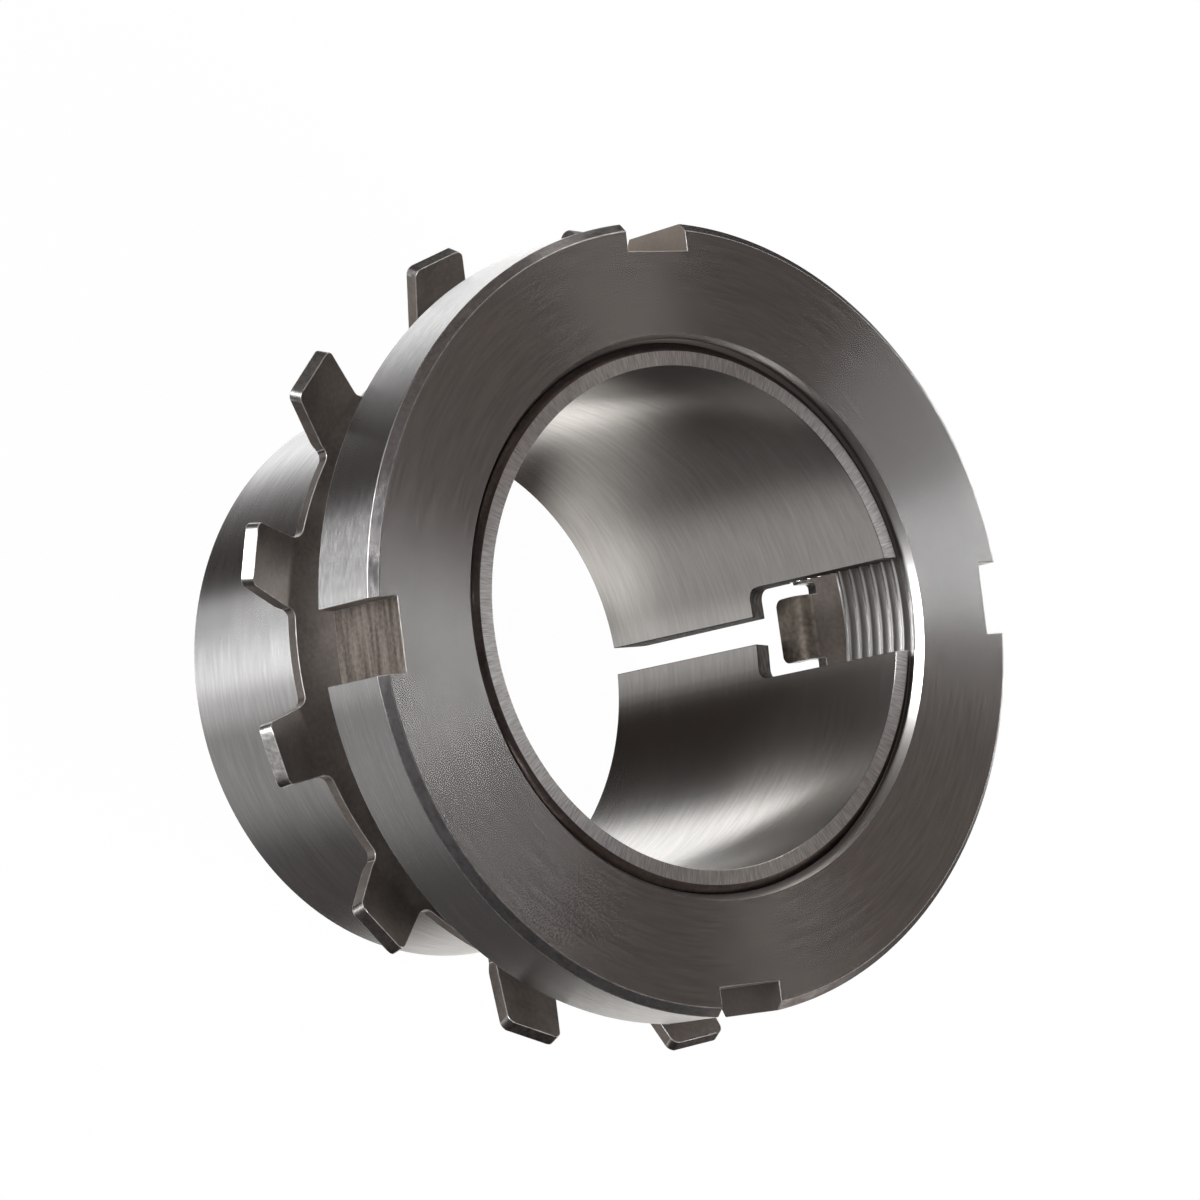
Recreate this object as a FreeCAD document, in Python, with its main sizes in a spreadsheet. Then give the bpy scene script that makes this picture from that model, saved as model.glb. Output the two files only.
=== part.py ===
import FreeCAD, Part
import math
import os

import Sketcher

# Bearing adapter sleeve: a split sleeve with a 1:12 taper outside and a fine thread at its small end,
# a slotted lock nut on that thread, and a tabbed lock washer between the nut and the taper.
# The sleeve stands on its large end. The origin is the centre of that end face, +Z is the axis towards
# the nut, and the keyway, the slit and the washer's tongue lie on +Y.

SIZES = [
    # alias, value in millimetres or degrees or a plain count, note
    ("bore_diameter", 44.45, "bore for a shaft of 1 3/4 inch"),
    ("sleeve_length", 41.6, "from the large end face to the small one"),
    ("thread_diameter", 49.95, "outside of the M50 x 1.5 thread and small end of the taper"),
    ("thread_length", 17.6, "from the small end face to the taper"),
    ("taper_ratio", 12.0, "length per unit of diameter"),
    ("end_chamfer", 1.45, "at the thread's free end"),
    ("base_chamfer", 0.5, "at the large end"),
    ("keyway_width", 8.4, "slot through the wall, open at the small end"),
    ("keyway_length", 20.1, "from the small end face, measured at the bore"),
    ("keyway_runout", 1.8, "extra length at the outside, where the cutter ran out"),
    ("keyway_corner", 1.1, "corner radius at the keyway's end"),
    ("slit_width", 2.5, "saw cut from the keyway to the large end"),
    ("slit_offset", 0.35, "from the keyway's middle towards -X"),
    ("nut_diameter", 70.0, "outside of the lock nut"),
    ("nut_width", 11.0, "along the axis"),
    ("nut_overhang", 0.6, "how far the nut's front face stands past the sleeve"),
    ("nut_front_chamfer", 0.75, "45 degrees, at the front"),
    ("nut_seat_diameter", 60.0, "rear face, which presses on the washer"),
    ("nut_rear_angle", 30.0, "slope of the rear chamfer against the rear face"),
    ("nut_thread_chamfer", 0.1, "at both ends of the nut's thread"),
    ("thread_clearance", 0.06, "radial gap between sleeve and nut"),
    ("slot_width", 6.55, "spanner slot"),
    ("slot_depth", 2.7, "spanner slot, in from the outside"),
    ("slot_count", 4, "spanner slots"),
    ("washer_thickness", 1.25, "sheet of the lock washer"),
    ("washer_clearance", 0.2, "radial gap between thread and washer"),
    ("washer_diameter", 61.0, "rim at the roots of the tabs"),
    ("washer_seat_gap", 0.055, "gap to the taper where the washer leans lowest"),
    ("washer_lean", 2.7, "the loose washer leans by this angle"),
    ("washer_lean_heading", 52.0, "direction of its high side, from +X"),
    ("tab_count", 13, "locking tabs"),
    ("tab_offset_angle", 0.9, "from the tongue to the tab beside it"),
    ("tab_reach", 75.0, "diameter over the tabs before they are bent"),
    ("tab_root_width", 6.35, "at the rim"),
    ("tab_tip_width", 5.6, "at the tip"),
    ("tab_angle", 31.0, "bend towards the nut"),
    ("tab_bend_start", 0.7, "from the rim to the bend's corner"),
    ("tab_bend_radius", 1.0, "inside of the bend"),
    ("tab_tip_corner", 0.7, "corner radius at the tip"),
    ("tab_root_corner", 0.9, "corner radius at the root"),
    ("tongue_width", 6.0, "tongue that lies in the keyway"),
    ("tongue_drop", 3.5, "from the washer's front face to the tongue's end"),
    ("tongue_inset", 0.95, "radial step from the hole in to the tongue"),
    ("tongue_bend_radius", 0.4, "inside of the bend"),
    ("tongue_corner", 0.8, "corner radius at the tongue's end"),
    ("relief_width", 1.0, "notch on each side of the tongue's root"),
    ("relief_depth", 1.3, "notch, outwards from the hole"),
    ("relief_corner", 0.4, "corner radius of the notch"),
]

# Formulas that several features share. Each word in them is a cell of the sheet.
BORE_R = "bore_diameter / 2"
THREAD_R = "thread_diameter / 2"
TAPER_LENGTH = "(sleeve_length - thread_length)"
LARGE_R = "(%s + %s / (2 * taper_ratio))" % (THREAD_R, TAPER_LENGTH)
KEYWAY_END = "(sleeve_length - keyway_length)"
NUT_R = "nut_diameter / 2"
NUT_BORE_R = "(%s + thread_clearance)" % THREAD_R
HOLE_R = "(%s + washer_clearance)" % THREAD_R
RIM_R = "washer_diameter / 2"
TONGUE_R = "(%s - tongue_inset)" % HOLE_R
NOTCH_R = "(%s + relief_depth)" % HOLE_R

os.makedirs("parts", exist_ok=True)
doc = FreeCAD.newDocument("adapter_sleeve")
sheet = doc.addObject("Spreadsheet::Sheet", "Sizes")
ALIASES = {alias for alias, _, _ in SIZES}
for row, (alias, value, note) in enumerate(SIZES, start=1):
    sheet.set("A%d" % row, alias)
    sheet.set("B%d" % row, str(value))
    sheet.set("C%d" % row, note)
    sheet.setAlias("B%d" % row, alias)
doc.recompute()


def bound(formula):
    """The formula as an expression in which each alias stands for its cell."""
    out, word = "", ""
    for mark in str(formula) + " ":
        if mark.isalnum() or mark == "_":
            word += mark
            continue
        out += ("Sizes." + word if word in ALIASES else word) + mark
        word = ""
    return out.strip()


def number(formula):
    """What a formula gives with the sheet's values."""
    result = sheet.evalExpression(bound(formula))
    return float(getattr(result, "Value", result))


def new_body(label):
    body = doc.addObject("PartDesign::Body", label)
    body.Label = label
    return body


def new_sketch(body, name, role):
    """An empty sketch on one of the body's own origin planes."""
    plane = next(f for f in body.Origin.OriginFeatures if f.Role == role)
    sketch = body.newObject("Sketcher::SketchObject", name)
    sketch.AttachmentSupport = [(plane, "")]
    sketch.MapMode = "FlatFace"
    return sketch


def fix(sketch, kind, refs, formula):
    """Adds a dimension that follows the sheet."""
    index = sketch.addConstraint(Sketcher.Constraint(kind, *refs, number(formula)))
    sketch.setExpression("Constraints[%d]" % index, bound(formula))


def fix_point(sketch, geometry, end, x, y):
    fix(sketch, "DistanceX", (-1, 1, geometry, end), x)
    fix(sketch, "DistanceY", (-1, 1, geometry, end), y)


def add_circle(sketch, radius):
    centre = FreeCAD.Vector(0, 0, 0)
    ring = sketch.addGeometry(Part.Circle(centre, FreeCAD.Vector(0, 0, 1), number(radius)))
    sketch.addConstraint(Sketcher.Constraint("Coincident", ring, 3, -1, 1))
    fix(sketch, "Radius", (ring,), radius)


def add_outline(sketch, corners):
    """A closed outline through corners (x, y) or (x, y, rounding radius), all of them formulas."""
    spots = [FreeCAD.Vector(number(c[0]), number(c[1]), 0) for c in corners]
    radii = [number(c[2]) if len(c) > 2 else 0.0 for c in corners]
    arrive, leave = [], []
    for i, spot in enumerate(spots):
        back = (spots[i - 1] - spot).normalize()
        ahead = (spots[(i + 1) % len(spots)] - spot).normalize()
        trim = radii[i] / math.tan(back.getAngle(ahead) / 2)
        arrive.append(spot + back * trim)
        leave.append(spot + ahead * trim)
    lines = [
        sketch.addGeometry(Part.LineSegment(leave[i], arrive[(i + 1) % len(spots)]))
        for i in range(len(spots))
    ]
    for i, corner in enumerate(corners):
        before, after = lines[i - 1], lines[i]
        if radii[i]:
            round_corner(sketch, corner, spots[i], arrive[i], leave[i], before, after)
        else:
            sketch.addConstraint(Sketcher.Constraint("Coincident", before, 2, after, 1))
            fix_point(sketch, after, 1, corner[0], corner[1])


def round_corner(sketch, corner, spot, start, end, before, after):
    """Rounds the corner between two lines of an outline. A construction point keeps the corner's place."""
    radius = number(corner[2])
    inward = ((start + end) * 0.5 - spot).normalize()
    centre = spot + inward * math.hypot((start - spot).Length, radius)
    turns_left = (spot - start).cross(end - spot).z > 0
    first, last = (start, end) if turns_left else (end, start)
    circle = Part.Circle(centre, FreeCAD.Vector(0, 0, 1), radius)
    angles = [math.atan2(p.y - centre.y, p.x - centre.x) for p in (first, last)]
    arc = sketch.addGeometry(Part.ArcOfCircle(circle, angles[0], angles[1]))
    mark = sketch.addGeometry(Part.Point(spot), True)
    near, far = (1, 2) if turns_left else (2, 1)
    sketch.addConstraint(Sketcher.Constraint("Tangent", before, 2, arc, near))
    sketch.addConstraint(Sketcher.Constraint("Tangent", arc, far, after, 1))
    sketch.addConstraint(Sketcher.Constraint("PointOnObject", mark, 1, before))
    sketch.addConstraint(Sketcher.Constraint("PointOnObject", mark, 1, after))
    fix(sketch, "Radius", (arc,), corner[2])
    fix_point(sketch, mark, 1, corner[0], corner[1])


def turn(body, name, corners):
    """Revolves a half section, drawn as (radius, height), about the axis."""
    sketch = new_sketch(body, name + "_section", "XZ_Plane")
    add_outline(sketch, corners)
    feature = body.newObject("PartDesign::Revolution", name)
    feature.Profile = sketch
    feature.ReferenceAxis = (sketch, ["V_Axis"])
    feature.Angle = 360.0
    doc.recompute()
    return feature


def extrude(body, kind, name, role, corners, length=None, both_ways=False, heading=None):
    """A Pad or Pocket of an outline, turned about the axis by a heading where one is given.

    Without a length, a Pocket goes through everything.
    """
    sketch = new_sketch(body, name + "_outline", role)
    if heading is not None:
        up = FreeCAD.Vector(0, 0, 1) if role == "XY_Plane" else FreeCAD.Vector(0, 1, 0)
        turned = FreeCAD.Rotation(up, number(heading))
        sketch.AttachmentOffset = FreeCAD.Placement(FreeCAD.Vector(0, 0, 0), turned)
        sketch.setExpression("AttachmentOffset.Rotation.Angle", bound(heading))
    add_outline(sketch, corners)
    feature = body.newObject("PartDesign::" + kind, name)
    feature.Profile = sketch
    feature.Midplane = both_ways
    if length is None:
        feature.Type = "ThroughAll"
    else:
        feature.setExpression("Length", bound(length))
    doc.recompute()
    return feature


def around(body, name, features, count):
    """Repeats features about the axis."""
    pattern = body.newObject("PartDesign::PolarPattern", name)
    pattern.Originals = features
    axis = next(f for f in body.Origin.OriginFeatures if f.Role == "Z_Axis")
    pattern.Axis = (axis, [""])
    pattern.Angle = 360.0
    pattern.setExpression("Occurrences", bound(count))
    body.Tip = pattern
    doc.recompute()
    return pattern


def check_cut(name, before, after):
    """A cut that misses the solid shows no error, so the volume tells."""
    if after.Shape.Volume > before.Shape.Volume - 1.0:
        raise RuntimeError("%s cut nothing" % name)


def make_sleeve():
    """Split sleeve: turned outside and bore, milled keyway, sawn slit."""
    body = new_body("sleeve")
    shell = turn(body, "shell", [
        (BORE_R, "0"),
        (LARGE_R + " - base_chamfer", "0"),
        (LARGE_R + " - base_chamfer / (2 * taper_ratio)", "base_chamfer"),
        (THREAD_R, TAPER_LENGTH),
        (THREAD_R, "sleeve_length - end_chamfer"),
        (THREAD_R + " - end_chamfer", "sleeve_length"),
        (BORE_R, "sleeve_length"),
    ])
    # The keyway's end wall slopes: it is keyway_runout longer at the thread than at the bore.
    wall = "(%s - %s)" % (THREAD_R, BORE_R)
    inner, outer = "(%s - %s)" % (BORE_R, wall), "(%s + %s)" % (THREAD_R, wall)
    keyway = extrude(body, "Pocket", "keyway", "YZ_Plane", [
        (inner, KEYWAY_END + " + keyway_runout"),
        (outer, KEYWAY_END + " - 2 * keyway_runout"),
        (outer, "sleeve_length + end_chamfer"),
        (inner, "sleeve_length + end_chamfer"),
    ], length="keyway_width", both_ways=True)
    check_cut("keyway", shell, keyway)
    slit = extrude(body, "Pocket", "slit", "XZ_Plane", [
        ("-slit_offset - slit_width / 2", "-base_chamfer"),
        ("-slit_offset + slit_width / 2", "-base_chamfer"),
        ("-slit_offset + slit_width / 2", KEYWAY_END + " + keyway_runout / 2"),
        ("-slit_offset - slit_width / 2", KEYWAY_END + " + keyway_runout / 2"),
    ], length="thread_diameter")
    check_cut("slit", keyway, slit)
    corners = body.newObject("PartDesign::Fillet", "keyway_corners")
    corners.Base = (slit, keyway_end_edges(slit.Shape))
    corners.setExpression("Radius", bound("keyway_corner"))
    body.Tip = corners
    return body


def keyway_end_edges(shape):
    """The two edges where the keyway's end wall meets its sides, through the wall from bore to outside."""
    side, bore_r, thread_r = number("keyway_width / 2"), number(BORE_R), number(THREAD_R)
    high = number(KEYWAY_END + " + keyway_runout")
    found = []
    for index, edge in enumerate(shape.Edges, start=1):
        ends = sorted((v.Point for v in edge.Vertexes), key=lambda p: p.y)
        on_side = all(abs(abs(p.x) - side) < 1e-4 and p.z < high for p in ends)
        reach = [math.hypot(p.x, p.y) for p in ends]
        if len(ends) == 2 and on_side and reach[0] < bore_r + 1e-4 and reach[1] > thread_r - 1e-4:
            found.append("Edge%d" % index)
    if len(found) != 2:
        raise RuntimeError("the keyway's end has %d corner edges" % len(found))
    return found


def make_nut():
    """Lock nut, from its rear face at its own z = 0 to its front face."""
    body = new_body("lock_nut")
    rise = "((nut_diameter - nut_seat_diameter) / 2 * tan(nut_rear_angle * 1deg))"
    ring = turn(body, "ring", [
        (NUT_BORE_R + " + nut_thread_chamfer", "0"),
        ("nut_seat_diameter / 2", "0"),
        (NUT_R, rise),
        (NUT_R, "nut_width - nut_front_chamfer"),
        (NUT_R + " - nut_front_chamfer", "nut_width"),
        (NUT_BORE_R + " + nut_thread_chamfer", "nut_width"),
        (NUT_BORE_R, "nut_width - nut_thread_chamfer"),
        (NUT_BORE_R, "nut_thread_chamfer"),
    ])
    slot = extrude(body, "Pocket", "slot", "XY_Plane", [
        ("-slot_width / 2", NUT_R + " - slot_depth"),
        ("slot_width / 2", NUT_R + " - slot_depth"),
        ("slot_width / 2", NUT_R + " + slot_depth"),
        ("-slot_width / 2", NUT_R + " + slot_depth"),
    ], both_ways=True)
    check_cut("slot", ring, slot)
    around(body, "slots", [slot], "slot_count")
    place(body, "sleeve_length + nut_overhang - nut_width")
    return body


def make_washer():
    """Lock washer, with its front face at its own z = 0 and the sheet below it."""
    body = new_body("lock_washer")
    sketch = new_sketch(body, "blank_outline", "XY_Plane")
    add_circle(sketch, RIM_R)
    add_circle(sketch, HOLE_R)
    blank = body.newObject("PartDesign::Pad", "blank")
    blank.Profile = sketch
    blank.Reversed = True
    blank.setExpression("Length", bound("washer_thickness"))
    doc.recompute()

    half_notch = "(tongue_width / 2 + relief_width)"
    notch = extrude(body, "Pocket", "notch", "XY_Plane", [
        (half_notch, TONGUE_R),
        (half_notch, NOTCH_R, "relief_corner"),
        ("-" + half_notch, NOTCH_R, "relief_corner"),
        ("-" + half_notch, TONGUE_R),
    ], both_ways=True)
    check_cut("notch", blank, notch)
    add_tongue(body)
    add_tabs(body)

    reach = "(%s * cos(washer_lean * 1deg) - washer_thickness * sin(washer_lean * 1deg))" % HOLE_R
    low_edge = "%s - (%s - washer_seat_gap - %s) * 2 * taper_ratio" % (TAPER_LENGTH, reach, THREAD_R)
    lift = "%s * sin(washer_lean * 1deg) + washer_thickness * cos(washer_lean * 1deg)" % HOLE_R
    place(body, "%s + %s" % (low_edge, lift), "washer_lean", "washer_lean_heading")
    return body


def add_tongue(body):
    """Tongue bent square into the keyway, away from the nut."""
    root = "(%s + washer_thickness)" % NOTCH_R
    extrude(body, "Pad", "tongue", "YZ_Plane", [
        (root, "0"),
        (TONGUE_R, "0", "tongue_bend_radius + washer_thickness"),
        (TONGUE_R, "-tongue_drop"),
        (TONGUE_R + " + washer_thickness", "-tongue_drop"),
        (TONGUE_R + " + washer_thickness", "-washer_thickness", "tongue_bend_radius"),
        (root, "-washer_thickness"),
    ], length="tongue_width", both_ways=True)
    half, margin = "tongue_width / 2", "relief_width"
    extrude(body, "Pocket", "tongue_end", "XZ_Plane", [
        (half, "-washer_thickness"),
        (half, "-tongue_drop", "tongue_corner"),
        ("-" + half, "-tongue_drop", "tongue_corner"),
        ("-" + half, "-washer_thickness"),
        ("-%s - %s" % (half, margin), "-washer_thickness"),
        ("-%s - %s" % (half, margin), "-tongue_drop - " + margin),
        ("%s + %s" % (half, margin), "-tongue_drop - " + margin),
        ("%s + %s" % (half, margin), "-washer_thickness"),
    ], length=RIM_R)


def add_tabs(body):
    """One tab beside the tongue: a bent strip, trimmed to its outline in plan, then repeated."""
    corner = "(%s + tab_bend_start)" % RIM_R
    flap = "(tab_reach / 2 - %s)" % corner
    run, rise = flap + " * cos(tab_angle * 1deg)", flap + " * sin(tab_angle * 1deg)"
    down = "washer_thickness * cos(tab_angle * 1deg)"
    tip = "(%s + %s)" % (corner, run)
    end = "(%s + washer_thickness * sin(tab_angle * 1deg))" % tip
    past = "(%s + washer_thickness)" % end
    half_strip = "(tab_root_width / 2 + tab_root_corner)"
    inside = "(%s - washer_thickness)" % RIM_R
    strip = extrude(body, "Pad", "tab", "YZ_Plane", [
        (inside, "0"),
        (corner, "0", "tab_bend_radius"),
        (tip, rise),
        (end, "%s - %s" % (rise, down)),
        (corner + " + washer_thickness * tan(tab_angle / 2 * 1deg)", "-washer_thickness",
         "tab_bend_radius + washer_thickness"),
        (inside, "-washer_thickness"),
    ], length="2 * " + half_strip, both_ways=True, heading="-tab_offset_angle")
    half_trim = "(%s + tab_root_corner / 2)" % half_strip
    rim = "sqrt((%s) ^ 2 - %s ^ 2)" % (RIM_R, half_trim)
    trim = extrude(body, "Pocket", "tab_trim", "XY_Plane", [
        (half_trim, rim),
        ("tab_root_width / 2", rim, "tab_root_corner"),
        ("tab_tip_width / 2", end, "tab_tip_corner"),
        ("-tab_tip_width / 2", end, "tab_tip_corner"),
        ("-tab_root_width / 2", rim, "tab_root_corner"),
        ("-" + half_trim, rim),
        ("-" + half_trim, past),
        (half_trim, past),
    ], both_ways=True, heading="-tab_offset_angle")
    check_cut("tab_trim", strip, trim)
    around(body, "tabs", [strip, trim], "tab_count")


def place(body, height, lean="0", heading="0"):
    """Sets the body's height on the axis, and how far and in which direction it leans up."""
    body.setExpression("Placement.Base.z", bound(height))
    side = math.radians(number(heading))
    axis = FreeCAD.Vector(math.sin(side), -math.cos(side), 0)
    body.Placement.Rotation = FreeCAD.Rotation(axis, number(lean))
    if number(lean):
        body.setExpression("Placement.Rotation.Axis.x", bound("sin(%s * 1deg)" % heading))
        body.setExpression("Placement.Rotation.Axis.y", bound("-cos(%s * 1deg)" % heading))
        body.setExpression("Placement.Rotation.Angle", bound(lean))


parts = [make_sleeve(), make_nut(), make_washer()]
doc.recompute()

for thing in doc.Objects:
    if "Invalid" in thing.State or "Error" in thing.State:
        raise RuntimeError("%s did not compute: %s" % (thing.Name, thing.State))
for part in parts:
    if part.Shape.isNull() or not part.Shape.isValid():
        raise RuntimeError("%s has no valid shape" % part.Label)
for part in parts:
    part.Shape.exportStep("parts/%s.step" % part.Label)
    box = part.Shape.BoundBox
    print("%s %.1f mm3 z %.2f to %.2f" % (part.Label, part.Shape.Volume, box.ZMin, box.ZMax))
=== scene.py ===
from functools import partial
import math

import bmesh
import bpy
from mathutils import Matrix, Vector


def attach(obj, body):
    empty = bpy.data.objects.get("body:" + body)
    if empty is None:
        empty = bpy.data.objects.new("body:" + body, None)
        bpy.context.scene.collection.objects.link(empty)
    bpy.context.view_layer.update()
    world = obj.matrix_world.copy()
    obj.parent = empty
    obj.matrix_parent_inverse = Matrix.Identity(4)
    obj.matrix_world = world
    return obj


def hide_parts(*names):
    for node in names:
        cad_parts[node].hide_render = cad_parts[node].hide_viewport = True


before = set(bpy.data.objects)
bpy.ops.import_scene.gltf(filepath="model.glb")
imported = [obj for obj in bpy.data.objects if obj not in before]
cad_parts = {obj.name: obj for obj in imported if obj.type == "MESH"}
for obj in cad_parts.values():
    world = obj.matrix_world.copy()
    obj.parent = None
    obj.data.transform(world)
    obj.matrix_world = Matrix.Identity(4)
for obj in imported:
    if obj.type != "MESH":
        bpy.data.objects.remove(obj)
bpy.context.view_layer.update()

MM = 0.001
TURN = 2 * math.pi
NEAR = 0.001

# Sizes in millimetres and angles in degrees. Those that the solids have too repeat their named values.

BORE_R = 22.225
SLEEVE_LENGTH = 41.6
THREAD_R = 24.975
THREAD_FROM = SLEEVE_LENGTH - 17.6
TAPER_RATIO = 12.0
END_CHAMFER = 1.45
BASE_CHAMFER = 0.5
KEYWAY_HALF = 4.2
KEYWAY_END = SLEEVE_LENGTH - 20.1
KEYWAY_RUNOUT = 1.8
KEYWAY_CORNER = 1.1
SLIT_LEFT = -1.6
SLIT_RIGHT = 0.9

PITCH = 1.5
THREAD_DEPTH = 0.90
THREAD_SAMPLES = 10
GROOVE_FLOOR = 0.20
GROOVE_EDGE = 0.84
RUN_OUT_FROM = 0.1
RUN_OUT_TO = 1.6

NUT_R = 35.0
NUT_FRONT = SLEEVE_LENGTH + 0.6
NUT_BACK = NUT_FRONT - 11.0
NUT_FRONT_CHAMFER = 0.75
NUT_SEAT_R = 30.0
NUT_REAR_SLOPE = math.tan(math.radians(30))
NUT_BORE_R = THREAD_R + 0.06
NUT_CREST_R = 24.20
NUT_MOUTH_R = 24.95
NUT_MOUTH_SLOPE = math.tan(math.radians(30))
NUT_FADE_FROM = 0.2
NUT_FADE_TO = 0.9
SLOT_COUNT = 4
SLOT_HALF = 3.275
SLOT_FLOOR = 32.3
SLOT_WALL_R = math.hypot(SLOT_FLOOR, SLOT_HALF)

SHEET = 1.25
HOLE_R = THREAD_R + 0.2
RIM_R = 30.5
WASHER_SEAT_GAP = 0.055
WASHER_LEAN = math.radians(2.7)
WASHER_LEAN_HEADING = math.radians(52)
TAB_COUNT = 13
TAB_FIRST = math.radians(90 - 0.9)
TAB_ROOT_HALF = 3.175
TAB_TIP_HALF = 2.8
TAB_REACH = 37.5
TAB_BEND = math.radians(31)
TAB_BEND_AT = RIM_R + 0.7
TAB_BEND_RADIUS = 1.0
TAB_TIP_CORNER = 0.7
TAB_ROOT_CORNER = 0.9
TONGUE_HALF = 3.0
TONGUE_DROP = 3.5
TONGUE_FACE = HOLE_R - 0.95
TONGUE_BEND_RADIUS = 0.4
TONGUE_CORNER = 0.8
NOTCH_HALF = TONGUE_HALF + 1.0
NOTCH_EDGE = HOLE_R + 1.3
NOTCH_CORNER = 0.4

# How finely the meshes are divided, and the edges that are broken

SLEEVE_COLUMNS = 288
NUT_COLUMNS = 64
WALL_ROWS = 6
RIM_STEPS = 5
CORNER_STEPS = 5
HEIGHT_ROUNDS = 6
END_ROW_R = BORE_R + 0.85
BASE_ROW_R = BORE_R + 1.6
FACE_ROW_R = 28.0
SMOOTH_BELOW = math.radians(32)
BREAK_ABOVE = math.radians(24)
EDGE_BREAK = 0.06
SHEET_EDGE_BREAK = 0.07


class Shell:
    """A mesh made face by face, in millimetres, whose equal points are one vertex."""

    def __init__(self):
        self.points = []
        self.index = {}
        self.faces = []
        self.finishes = []

    def vertex(self, point):
        key = tuple(round(value, 4) + 0.0 for value in point)
        if key not in self.index:
            self.index[key] = len(self.points)
            self.points.append(key)
        return self.index[key]

    def face(self, corners, finish="skin"):
        """Adds a face. Corners that fall together count once, and a face with no area is left out."""
        ring = []
        for corner in corners:
            number = self.vertex(corner)
            if not ring or (number != ring[-1] and number != ring[0]):
                ring.append(number)
        if len(ring) > 2 and len(set(ring)) == len(ring):
            self.faces.append(ring)
            self.finishes.append(finish)

    def grid(self, lines, finish="skin"):
        """Adds the faces between neighbouring lines of points."""
        for one, two in zip(lines, lines[1:]):
            for corners in zip(one, one[1:], two[1:], two):
                self.face(corners, finish)

    def refinish(self, choose):
        """Gives each face the finish that choose returns for its corners and its present finish."""
        for number, face in enumerate(self.faces):
            corners = [self.points[corner] for corner in face]
            self.finishes[number] = choose(corners, self.finishes[number])

    def piece(self, name, body, node, slot, materials, width, sharp=None, edge_finish=None):
        """Makes the piece that stands for a CAD node, with its edges broken except between sharp points."""
        order = list(materials)
        mesh = bpy.data.meshes.new(name)
        mesh.from_pydata([Vector(point) * MM for point in self.points], [], self.faces)
        for material in materials.values():
            mesh.materials.append(material)
        for polygon, finish in zip(mesh.polygons, self.finishes):
            polygon.material_index = order.index(finish)
        work = bmesh.new()
        work.from_mesh(mesh)
        bmesh.ops.recalc_face_normals(work, faces=work.faces)
        weight = work.edges.layers.float.new("bevel_weight_edge")
        for edge in work.edges:
            angle = edge.calc_face_angle(0.0)
            edge.smooth = angle < SMOOTH_BELOW
            ends = [vertex.co / MM for vertex in edge.verts]
            if angle > BREAK_ABOVE and not (sharp and all(sharp(end) for end in ends)):
                edge[weight] = 1.0
        for face in work.faces:
            face.smooth = True
        work.to_mesh(mesh)
        work.free()
        piece = bpy.data.objects.new(name, mesh)
        bpy.context.scene.collection.objects.link(piece)
        edges = piece.modifiers.new("edges", "BEVEL")
        edges.width = width * MM
        edges.segments = 2
        edges.limit_method = "WEIGHT"
        edges.harden_normals = True
        edges.miter_outer = "MITER_ARC"
        # An edge finish, where given, is a partly matt one for the broken edges, so that they show as light
        # lines: partly burrs, partly painted highlight.
        edges.material = order.index(edge_finish) if edge_finish else -1
        edges.use_clamp_overlap = False
        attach(piece, body)
        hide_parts(node)


def steps(start, end, count):
    return [start + (end - start) * number / count for number in range(count + 1)]


def polar(radius, angle, height):
    return (radius * math.cos(angle), radius * math.sin(angle), height)


def smooth_step(value, start, end):
    part = min(max((value - start) / (end - start), 0.0), 1.0)
    return part * part * (3 - 2 * part)


def radius_of(point):
    return math.hypot(point[0], point[1])


def widest(points):
    return max(radius_of(point) for point in points)


def lowest(points):
    return min(point[2] for point in points)


# Thread


def thread_depth(height, angle):
    """How deep the groove is, from 0 on the crest to 1 on the root, for a right-hand thread."""
    phase = (height / PITCH - angle / TURN) % 1.0
    away = abs(phase - 0.5) * 2
    return min(max((GROOVE_EDGE - away) / (GROOVE_EDGE - GROOVE_FLOOR), 0.0), 1.0)


def helix_rows(low, high, angle):
    """Heights that follow the thread, from low to high, for one column of a threaded surface."""
    step = PITCH / THREAD_SAMPLES
    lift = PITCH * angle / TURN
    first = math.floor((low - 3 * PITCH) / step)
    last = math.ceil((high + PITCH) / step)
    return [min(max(number * step + lift, low), high) for number in range(first, last + 1)]


# Sleeve


def bore_radius(height):
    """The bore's radius, the same at every height, in the form that keyway_end asks for."""
    return BORE_R


def taper_radius(height):
    return THREAD_R + (THREAD_FROM - height) / (2 * TAPER_RATIO)


def sleeve_thread_radius(height, angle):
    groove = THREAD_DEPTH * smooth_step(height - THREAD_FROM, RUN_OUT_FROM, RUN_OUT_TO)
    radius = THREAD_R - groove * thread_depth(height, angle)
    return min(radius, THREAD_R - (height - (SLEEVE_LENGTH - END_CHAMFER)))


def keyway_end(across, radius_at):
    """Height of the keyway's sloped end wall, across from its middle, on the surface of radius_at.

    It is found in rounds, because the taper's radius depends on the height.
    """
    beyond = max(abs(across) - (KEYWAY_HALF - KEYWAY_CORNER), 0.0)
    rise = KEYWAY_CORNER - math.sqrt(max(KEYWAY_CORNER ** 2 - beyond ** 2, 0.0))
    slope = KEYWAY_RUNOUT / (THREAD_R - BORE_R)
    height = KEYWAY_END
    for _ in range(HEIGHT_ROUNDS):
        depth = math.sqrt(radius_at(height) ** 2 - across ** 2)
        height = KEYWAY_END - (depth - BORE_R) * slope + rise
    return height


def sleeve_angle(part, radius):
    """The angle part of the way round the sleeve, from one side of the keyway to the other."""
    edge = math.asin(KEYWAY_HALF / radius)
    return TURN / 4 + edge + part * (TURN - 2 * edge)


def foot(at):
    """The sleeve's outline over its large end face, where at places a radius and a height."""
    return [at(BASE_ROW_R, 0), at(taper_radius(0) - BASE_CHAMFER, 0)]


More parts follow.
